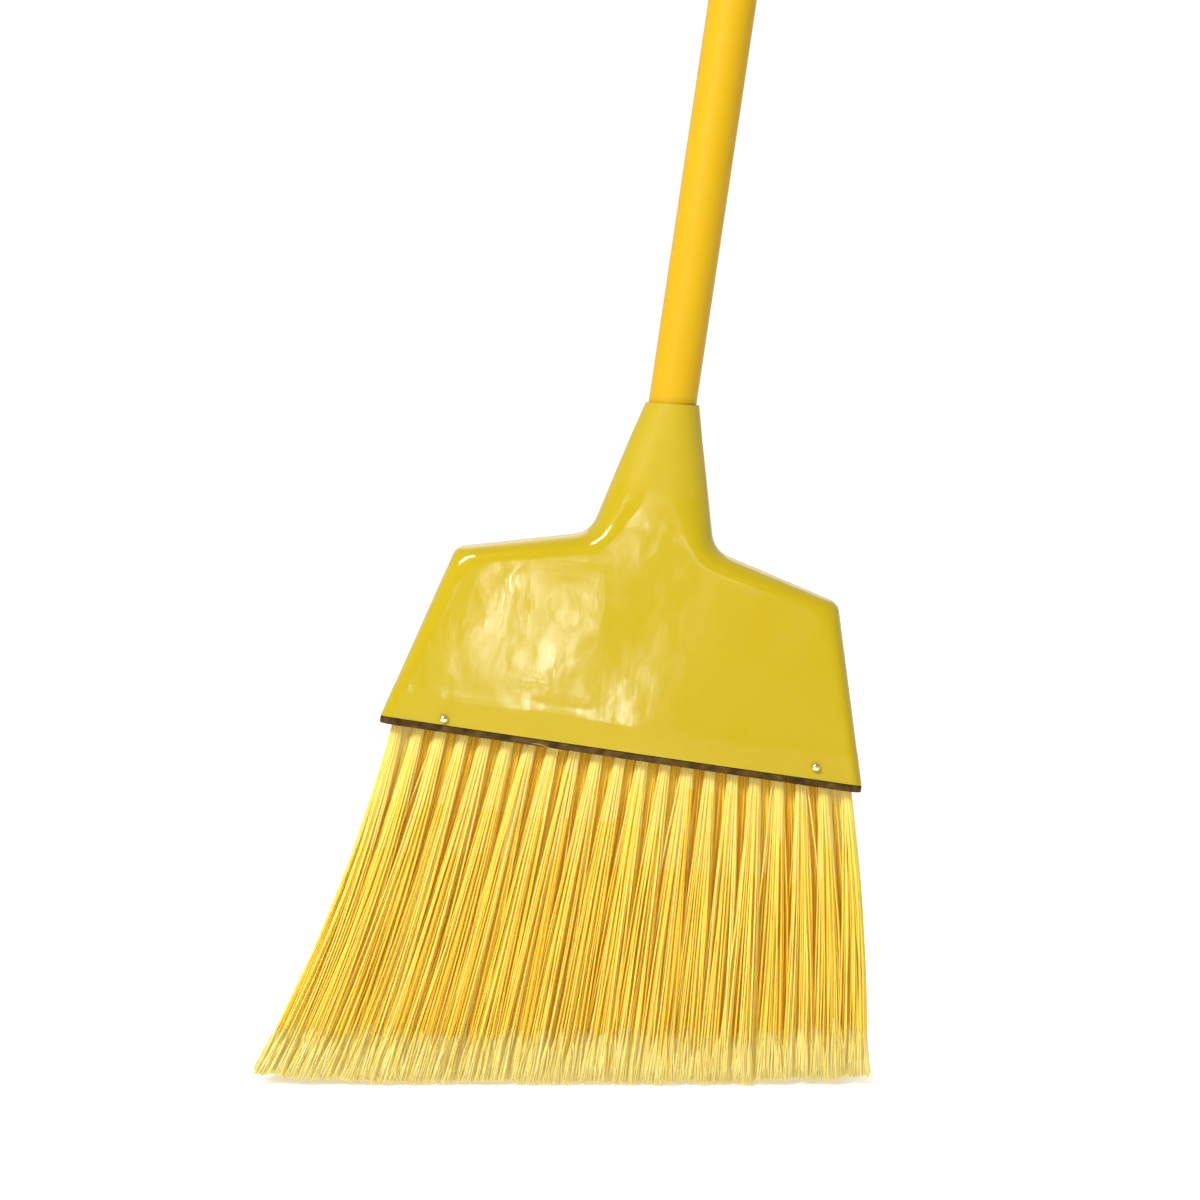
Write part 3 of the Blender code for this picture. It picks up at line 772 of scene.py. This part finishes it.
def make_plug(finish):
    low, high = span("top_plug")
    radius = high[0]
    plug = radius - PLUG_WALL
    flange = 3.0 * MM
    soft = 1.0 * MM
    base = high[2] - flange
    profile = [
        (PIN_BORE, high[2] - 0.3 * MM),
        (PIN_BORE + 0.3 * MM, high[2]),
        *arc((radius - soft, high[2] - soft), soft, 90, 0, 8),
        *arc((radius - 0.3 * MM, base + 0.3 * MM), 0.3 * MM, 0, -90, 3),
        (plug, base),
        (plug, low[2] + soft),
        (plug - soft, low[2]),
        (PIN_BORE, low[2]),
    ]

    def ribs(radii, heights, angles):
        ribbed = (radii > plug - 1e-6) & (heights < base)
        groove = 0.35 * MM * np.clip(np.cos(12 * angles) * 3 - 2, 0, 1)
        return np.where(ribbed, radii - groove, radii), heights

    made = lathe("top_plug_looks", profile, finish, 144, ribs)
    return stand_for(made, "handle", "fitting_plastic", "top_plug")


def make_pin(finish):
    low, high = span("hanger_pin")
    radius = high[0]
    shank = 2.2 * MM
    head = 1.8 * MM
    crown = 1.0 * MM
    profile = [
        (0, high[2]),
        (radius * 0.55, high[2] - 0.12 * MM),
        *arc((radius - crown, high[2] - crown), crown, 62, 0, 6),
        (radius, high[2] - head + 0.2 * MM),
        (radius - 0.2 * MM, high[2] - head),
        (shank, high[2] - head),
        (shank, low[2] + head),
        (radius, low[2] + head),
        (radius, low[2] + 0.3 * MM),
        (radius - 0.3 * MM, low[2]),
        (0, low[2]),
    ]
    made = lathe("hanger_pin_looks", profile, finish, 48)
    return stand_for(made, "handle", "rivet_steel", "hanger_pin")


def outline(half_width, low, high, low_radius, high_radius, steps):
    """A rectangle's outline with its own corner radius at each end, as (x, z) points."""
    found = []
    for quarter in range(4):
        side = (1, -1, -1, 1)[quarter]
        radius = high_radius if quarter < 2 else low_radius
        middle = high - radius if quarter < 2 else low + radius
        for k in range(steps + 1):
            angle = TURN / 4 * (quarter + k / steps)
            x = side * (half_width - radius) + radius * math.cos(angle)
            found.append((x, middle + radius * math.sin(angle)))
    return found


def make_hanger(finish):
    low, high = span("swivel_hanger")
    soft = 1.1 * MM
    base = low[2] + 5.0 * MM
    curve = bpy.data.curves.new("hanger", "CURVE")
    curve.dimensions = "2D"
    curve.fill_mode = "BOTH"
    curve.extrude = high[1] - soft
    curve.bevel_depth = soft
    curve.bevel_resolution = 5
    curve.offset = -soft
    loops = (
        outline(high[0], low[2], high[2], 1.5 * MM, 10.0 * MM, 20),
        outline(7.0 * MM, base, base + 17.0 * MM, 1.5 * MM, 3.0 * MM, 10),
    )
    for loop in loops:
        spline = curve.splines.new("POLY")
        spline.points.add(len(loop) - 1)
        spline.use_cyclic_u = True
        for point, (x, z) in zip(spline.points, loop):
            point.co = (x, z, 0, 1)
    guide = link("hanger_guide", curve)
    bpy.context.view_layer.update()
    mesh = bpy.data.meshes.new_from_object(guide.evaluated_get(bpy.context.evaluated_depsgraph_get()))
    bpy.data.objects.remove(guide)
    mesh.transform(Matrix.Rotation(math.radians(90), 4, "X"))
    mesh.materials.clear()
    mesh.materials.append(finish)
    made = clean(link("swivel_hanger_looks", mesh))
    above, below = base + 4 * MM, low[2] - 4 * MM
    bore = [(0, above), (PIN_BORE, above), (PIN_BORE, below), (0, below)]
    cutter = lathe("hanger_bore", bore, finish, 40)
    cutter.matrix_world = Matrix.Identity(4)
    cut(made, cutter)
    clean(made, 30)
    made.matrix_world = HEAD
    return stand_for(made, "hanger", "fitting_plastic", "swivel_hanger")


# ---------------------------------------------------------------- bristles

FRONT_TUFTS = sorted(n for n in frame["nodes"] if n.startswith("front_tuft_"))
REAR_TUFTS = sorted(n for n in frame["nodes"] if n.startswith("rear_tuft_"))
GOLDEN_ANGLE = 2.399963
ANY_TURN = 6.28
STRANDS = 50
STRAND_RADIUS = 0.50 * MM
STRAND_SEGMENTS = 8
STRAND_SIDES = 4
SPLITS = 6
SPLIT_RADIUS = 0.36 * MM
SPLIT_TAPER = np.array([1.35, 1.15, 1.0, 0.75])
SPLIT_SIDES = 3
SPLIT_LENGTH = 17.0 * MM
SPLIT_JAG = 3.2  # how much that length varies, in millimetres
WHOLE_SHARE = 1.08  # spreads a strand's rings, so that its tapered last segment is short
SPLIT_OVERLAP = 0.7  # how far up its strand's last, tapered segment a split end starts
BUNDLE_RADIUS = 2.1 * MM
ROOT_SWELL = 1.25  # how much thicker a strand is at its hole, where strands are packed together
ROOT_SWELL_SHARE = 0.38  # the share of its length over which that eases off
FAN_POWER = 0.92
LEFT_BOW, RIGHT_BOW = 6.5 * MM, -2.5 * MM  # how far the outermost tufts bow inwards: the right one bows out
SWAY = (0.75, 0.6)  # how far strands sway across and in depth, in millimetres
RIPPLES, RIPPLE = 1.7, 0.28  # waves along a strand, and how high they are in millimetres
# How far split ends spread out, stop short and bow, in millimetres.
SPLIT_SPREAD, SPLIT_SHORT, SPLIT_BOW = 0.95, 0.7, 0.35
# How far past the middles of the outermost tufts their strands may end, in tuft spacings.
LEFT_REACH, RIGHT_REACH = 0.5, 0.34
END_OVERLAP = 1.2  # how far a tuft's ends reach into its neighbours' share of the sweep face
STRAY_SHARE, STRAY_REACH = 0.14, 3.6 * MM  # strands that stray from their tuft
END_RISE, END_RISE_SHARE = 3.4 * MM, 0.45  # how much shorter the outermost tufts are
FLOOR_GAP = 0.15 * MM
LOOSE_TUFT = 6  # the tuft where the loose strand starts
LOOSE_RADIUS = 0.0792 * MM


def tuft_ends(node):
    """The middle of a tuft's upper end, in its hole, and of its trimmed end, in the head's frame."""
    points = in_head(node)
    floor = node_points(node)[:, 2]
    top = points[points[:, 2] > points[:, 2].max() - 1e-5].mean(axis=0)
    trim = points[floor < 1e-5].mean(axis=0)
    return top, trim


def tuft_lines():
    """(root, trim) of every tuft, row by row. The inner rows lie evenly between the outer ones."""
    outer = [[tuft_ends(n) for n in names] for names in (FRONT_TUFTS, REAR_TUFTS)]
    rows = []
    for row in range(4):
        source = outer[row % 2]
        share = row / 3
        lines = []
        for root, trim in source:
            root, trim = root.copy(), trim.copy()
            root[1] = outer[0][0][0][1] * (1 - share) + outer[1][0][0][1] * share
            trim[1] = outer[0][0][1][1] * (1 - share) + outer[1][0][1][1] * share
            lines.append((root, trim))
        rows.append(lines)
    return rows


def floor_height(x):
    """The height in the head's frame where a line along the handle meets the floor."""
    return -(HEAD_ORIGIN[2] + x * HEAD_ROTATION[2, 0]) / HEAD_ROTATION[2, 2]


def tubes(paths, radii, sides, spin):
    """Open-ended prisms with closed caps along many paths at once: points and faces."""
    count, rings, _ = paths.shape
    ahead = np.gradient(paths, axis=1)
    ahead /= np.linalg.norm(ahead, axis=2, keepdims=True)
    side = np.cross(ahead, np.array([0.0, 1.0, 0.0]))
    side /= np.linalg.norm(side, axis=2, keepdims=True)
    other = np.cross(ahead, side)
    angles = spin[:, None] + TURN * np.arange(sides) / sides
    turn = np.cos(angles)[:, None, :, None] * side[:, :, None, :]
    turn += np.sin(angles)[:, None, :, None] * other[:, :, None, :]
    points = paths[:, :, None, :] + turn * radii[:, :, None, None]
    index = np.arange(count * rings * sides).reshape(count, rings, sides)
    a, b = index[:, :-1, :], index[:, 1:, :]
    quads = np.stack([a, np.roll(a, -1, axis=2), np.roll(b, -1, axis=2), b], axis=-1)
    caps = [index[:, 0, ::-1], index[:, -1, :]]
    return points.reshape(-1, 3), quads, caps


def bundle(name, root, trim, outer, cell, whole_finish, split_finish, seed):
    """One tuft: strands from its hole to the floor that fan out, cross a little, and split near their ends.

    outer is the tuft's place in its row, from -1 at its left end to 1 at its right end.
    """
    draw = np.random.default_rng(seed)
    count = STRANDS
    # Roots are spread evenly over a disc, and the ends over the tuft's share of the sweep face.
    turn = np.arange(count) * GOLDEN_ANGLE + draw.uniform(0, ANY_TURN)
    reach = np.sqrt((np.arange(count) + 0.5) / count)
    disc = np.stack([reach * np.cos(turn), reach * np.sin(turn)], axis=1)
    root_at = disc * BUNDLE_RADIUS
    square = disc / np.maximum(np.abs(disc).max(axis=1, keepdims=True), 1e-6) * reach[:, None]
    ends = 0.5 * (disc + square) * cell * 0.5 * END_OVERLAP
    ends += draw.normal(0, 1.0 * MM, (count, 2))
    stray = draw.random(count) < STRAY_SHARE
    ends[stray] += draw.normal(0, STRAY_REACH, (int(stray.sum()), 2)) * np.array([1.0, 0.4])
    if outer == -1:
        ends[:, 0] = np.maximum(ends[:, 0], -cell[0] * LEFT_REACH)
    if outer == 1:
        ends[:, 0] = np.minimum(ends[:, 0], cell[0] * RIGHT_REACH)
    x_end = trim[0] + ends[:, 0]
    y_end = trim[1] + ends[:, 1]
    raise_ends = END_RISE * np.clip(abs(outer) - (1 - END_RISE_SHARE), 0, 1) / END_RISE_SHARE
    lump = draw.uniform(0.1, 1.5) * MM + raise_ends
    z_end = floor_height(x_end) + lump + draw.uniform(0, 0.9, count) * MM
    start = np.column_stack([root[0] + root_at[:, 0], root[1] + root_at[:, 1], np.full(count, root[2])])
    end = np.column_stack([x_end, y_end, z_end])
    share = np.linspace(0, 1, STRAND_SEGMENTS + 1)
    # Strands leave the hole close together and open out early, and the outermost tufts bow sideways.
    opened = share**FAN_POWER
    foot = np.array([trim[0], trim[1], z_end.mean()])
    spine = root + (foot - root) * share[:, None]
    bend = LEFT_BOW * max(0.0, -outer) ** 2 - RIGHT_BOW * max(0.0, outer) ** 2
    spine[:, 0] += bend * (share - share**2) * 4
    paths = spine + (start - spine[0])[:, None, :] * (1 - opened)[:, None]
    paths += (end - spine[-1])[:, None, :] * opened[:, None]
    swell = np.sin(math.pi * share) * (1 - (1 - share) ** 4)
    for axis, size in enumerate(SWAY):
        sway = draw.normal(0, size, count) * MM
        ripple = draw.normal(0, RIPPLE, count) * MM
        phase = draw.uniform(0, ANY_TURN, count)
        waves = ripple[:, None] * np.sin(TURN * RIPPLES * share + phase[:, None])
        paths[:, :, axis] += (sway[:, None] + waves) * swell
    # The strand proper stops where it splits, and finer threads go on to its end.
    length = np.linalg.norm(end - start, axis=1)
    split_at = 1 - (SPLIT_LENGTH + draw.normal(0, SPLIT_JAG, count) * MM) / length
    whole = np.empty_like(paths)
    rings = np.append(share[:-1] * WHOLE_SHARE, 1.0)
    for k in range(count):
        at = rings * split_at[k]
        for axis in range(3):
            whole[k, :, axis] = np.interp(at, share, paths[k, :, axis])
    taper = np.ones(STRAND_SEGMENTS + 1)
    taper[-1] = 0.25
    packed = 1 + (ROOT_SWELL - 1) * np.clip(1 - share / ROOT_SWELL_SHARE, 0, 1)
    radii = STRAND_RADIUS * draw.uniform(0.85, 1.15, count)[:, None] * (taper * packed)
    points, quads, caps = tubes(whole, radii, STRAND_SIDES, draw.uniform(0, ANY_TURN, count))
    tone = draw.integers(0, len(whole_finish), count)
    faces = [quads.reshape(-1, 4).tolist(), caps[0].tolist(), caps[1].tolist()]
    segment_tone = np.repeat(tone[:, None], STRAND_SEGMENTS, axis=1)
    if len(whole_finish) == len(FILAMENT_TONES):
        # Painted light: a tuft that shows is painted paler near its hole, where its stalk is lit.
        lit_near_root = np.arange(STRAND_SEGMENTS) < draw.integers(1, 4, count)[:, None]
        segment_tone = np.where(lit_near_root, len(whole_finish), segment_tone)
    face_tones = [np.repeat(segment_tone, STRAND_SIDES), tone, tone]

    joint = whole[:, -1, :] + (whole[:, -2, :] - whole[:, -1, :]) * SPLIT_OVERLAP
    fine_share = np.array([0.0, 0.3, 0.65, 1.0])
    fine = count * SPLITS
    owner = np.repeat(np.arange(count), SPLITS)
    spread = draw.normal(0, SPLIT_SPREAD, (fine, 2)) * MM
    shorten = np.abs(draw.normal(0, SPLIT_SHORT, fine)) * MM
    tip = end[owner] + np.column_stack([spread, shorten])
    fine_paths = joint[owner][:, None, :] + (tip - joint[owner])[:, None, :] * fine_share[:, None]
    bow = draw.normal(0, SPLIT_BOW, (fine, 2)) * MM
    fine_paths[:, 1:3, :2] += bow[:, None, :]
    fine_radii = SPLIT_RADIUS * SPLIT_TAPER * draw.uniform(0.85, 1.2, fine)[:, None]
    more, fine_quads, fine_caps = tubes(fine_paths, fine_radii, SPLIT_SIDES, draw.uniform(0, ANY_TURN, fine))
    first = len(points)
    segments = len(fine_share) - 1
    level = np.tile(np.repeat(np.arange(segments), SPLIT_SIDES), fine)
    shift = np.repeat(draw.integers(-1, 2, fine), segments * SPLIT_SIDES)
    pale = np.clip(level + shift, 0, len(SPLIT_TONES) - 1)
    faces += [(fine_quads.reshape(-1, 4) + first).tolist()]
    faces += [(fine_caps[0] + first).tolist(), (fine_caps[1] + first).tolist()]
    face_tones += [len(whole_finish) + pale]
    face_tones += [np.full(fine, len(whole_finish)), np.full(fine, len(whole_finish) + 2)]
    everything = np.concatenate([points, more])
    everything[:, 2] += np.maximum(FLOOR_GAP - to_row(everything)[:, 2], 0)
    finishes = whole_finish + split_finish
    all_faces = [face for group in faces for face in group]
    made = new_mesh(name, everything, all_faces, finishes, np.concatenate(face_tones))
    made.matrix_world = HEAD
    return made


def tones(label, colors, glow):
    return [filament_material(f"{label}_{k + 1}", color, 0.45, glow) for k, color in enumerate(colors)]


def make_stray_bristle(x, finish):
    """One loose strand that lies along the block's flange, in front of the tufts."""
    share = np.linspace(0, 1, 20)
    sway = 0.5 * np.sin(share * 6)
    path = np.stack([share * 15, -1.4 * np.sin(share * 2.2) - 0.6, -2.6 - 1.0 * share + sway], axis=1)
    path = np.array([x, CAP_LOW[1], 0]) + path * MM
    points, quads, caps = tubes(path[None], np.full((1, len(path)), LOOSE_RADIUS), 5, np.zeros(1))
    faces = quads.reshape(-1, 4).tolist() + caps[0].tolist() + caps[1].tolist()
    made = new_mesh("stray_bristle", points, faces, [finish])
    made.matrix_world = HEAD
    stand_for(made, "head", "bristles")


def make_bristles(rows):
    outside = tones("filament", FILAMENT_TONES, STRAND_GLOW)
    inside = tones("painted_shade_filament", SHADED_TONES, DEEP_GLOW)
    split_ends = tones("split_end", SPLIT_TONES, SPLIT_GLOW)
    left, right = rows[0][0][1][0], rows[0][-1][1][0]
    pitch = (right - left) / (len(rows[0]) - 1)
    depth = (rows[3][0][1][1] - rows[0][0][1][1]) / 3
    cell = np.array([pitch, depth])
    for row, lines in enumerate(rows):
        names = (FRONT_TUFTS, None, None, REAR_TUFTS)[row]
        label = ("front", "second", "third", "rear")[row]
        middle = (len(lines) - 1) / 2
        for column, (root, trim) in enumerate(lines):
            name = f"{label}_row_tuft_{column + 1:02d}"
            outer = (column - middle) / middle
            # Painted shade: hidden tufts of the inner rows take the deeper orange tones.
            hidden = row in (1, 2) and abs(outer) < 1
            whole = inside if hidden else outside
            made = bundle(name, root, trim, outer, cell, whole, split_ends, 1000 * row + column)
            nodes = [names[column]] if names else ["inner_tufts"]
            stand_for(made, "head", "bristles", *nodes)
    make_stray_bristle(rows[0][LOOSE_TUFT][0][0], split_ends[-1])


# ---------------------------------------------------------------- stage, lights, camera

VIEW_LIFT = math.radians(4.0)
LENS = 100.0
SENSOR = 36.0
FLOOR_SIZE = 30.0
FLOOR_DROP = 0.2 * MM
BACKDROP = 1.02  # the backdrop's strength, just white
PICTURE = 606.0 * MM  # how much of the object's plane the picture takes in, each way
AIM = Vector((19.7 * MM, 0.0, 243.5 * MM))


def make_camera():
    data = bpy.data.cameras.new("camera")
    data.lens = LENS
    data.sensor_width = SENSOR
    camera = link("camera", data)
    distance = PICTURE * LENS / SENSOR
    back = Vector((0, -math.cos(VIEW_LIFT), math.sin(VIEW_LIFT)))
    turn = (-back).to_track_quat("-Z", "Y").to_matrix().to_4x4()
    camera.matrix_world = Matrix.Translation(AIM + back * distance) @ turn
    bpy.context.scene.camera = camera


def make_light(name, azimuth, elevation, distance, size, power, roll=0):
    """A panel that faces the aim. An azimuth of 0 is in front of the object, and 90 to its right."""
    data = bpy.data.lights.new(name, "AREA")
    data.shape = "RECTANGLE"
    data.size, data.size_y = size
    data.energy = power
    light = link(name, data)
    a, e = math.radians(azimuth), math.radians(elevation)
    away = Vector((math.sin(a) * math.cos(e), -math.cos(a) * math.cos(e), math.sin(e)))
    turn = away.to_track_quat("Z", "Y").to_matrix().to_4x4()
    turn @= Matrix.Rotation(math.radians(roll), 4, "Z")
    light.matrix_world = Matrix.Translation(AIM + away * distance) @ turn
    light.visible_camera = False


def make_floor():
    bpy.ops.mesh.primitive_plane_add(size=FLOOR_SIZE, location=(0, 0, -FLOOR_DROP))
    floor = bpy.context.object
    floor.name = "floor"
    paper = material("paper", (0.93, 0.93, 0.93), 0.9)
    grain = add_noise(paper, 300.0, 2.0)
    finish_with(paper, None, None, add_bump(paper, [(grain, 0.05, 0.0002)]))
    shader = paper.node_tree.nodes["Principled BSDF"]
    shader.inputs["Emission Color"].default_value = (1, 1, 1, 1)
    shader.inputs["Emission Strength"].default_value = 0.32
    floor.data.materials.append(paper)


def make_world():
    """Plain white for the camera all round. The object is lit more from behind than from the front."""
    world = bpy.data.worlds.new("studio")
    bpy.context.scene.world = world
    world.use_nodes = True
    tree = world.node_tree
    place = tree.nodes.new("ShaderNodeTexCoord")
    split = tree.nodes.new("ShaderNodeSeparateXYZ")
    shade = tree.nodes.new("ShaderNodeMapRange")
    shade.interpolation_type = "SMOOTHSTEP"
    for socket, value in (("From Min", -0.35), ("From Max", 0.25), ("To Min", 0.37), ("To Max", BACKDROP)):
        shade.inputs[socket].default_value = value
    tree.links.new(place.outputs["Generated"], split.inputs["Vector"])
    tree.links.new(split.outputs["Y"], shade.inputs["Value"])
    path = tree.nodes.new("ShaderNodeLightPath")
    strength = tree.nodes.new("ShaderNodeMix")
    strength.inputs["B"].default_value = BACKDROP
    tree.links.new(path.outputs["Is Camera Ray"], strength.inputs["Factor"])
    tree.links.new(shade.outputs["Result"], strength.inputs["A"])
    tree.links.new(strength.outputs["Result"], tree.nodes["Background"].inputs["Strength"])
    tree.nodes["Background"].inputs["Color"].default_value = (1, 1, 1, 1)
    bpy.context.scene.view_settings.view_transform = "Standard"


def make_lights():
    make_light("key", -27, 33, 1.9, (0.7, 0.36), 42, 37)
    make_light("window", -2.0, -0.1, 2.1, (0.05, 0.07), 1.35)
    make_light("lamp", -0.9, 2.7, 2.1, (0.03, 0.05), 0.42)
    make_light("glint", 6.3, 4.2, 2.1, (0.03, 0.03), 0.42)
    make_light("rear", 180, 45, 2.3, (1.8, 1.8), 14)


def main():
    make_floor()
    make_world()
    make_lights()
    make_camera()
    fitting = fitting_material()
    rows = tuft_lines()
    make_cap(cap_material())
    make_block(block_material(), [line for row in rows for line in row])
    make_nails(brass_material())
    make_handle(handle_material())
    make_tip(fitting)
    make_plug(fitting)
    make_pin(rivet_material())
    make_hanger(fitting)
    make_bristles(rows)
    bpy.context.view_layer.update()


main()
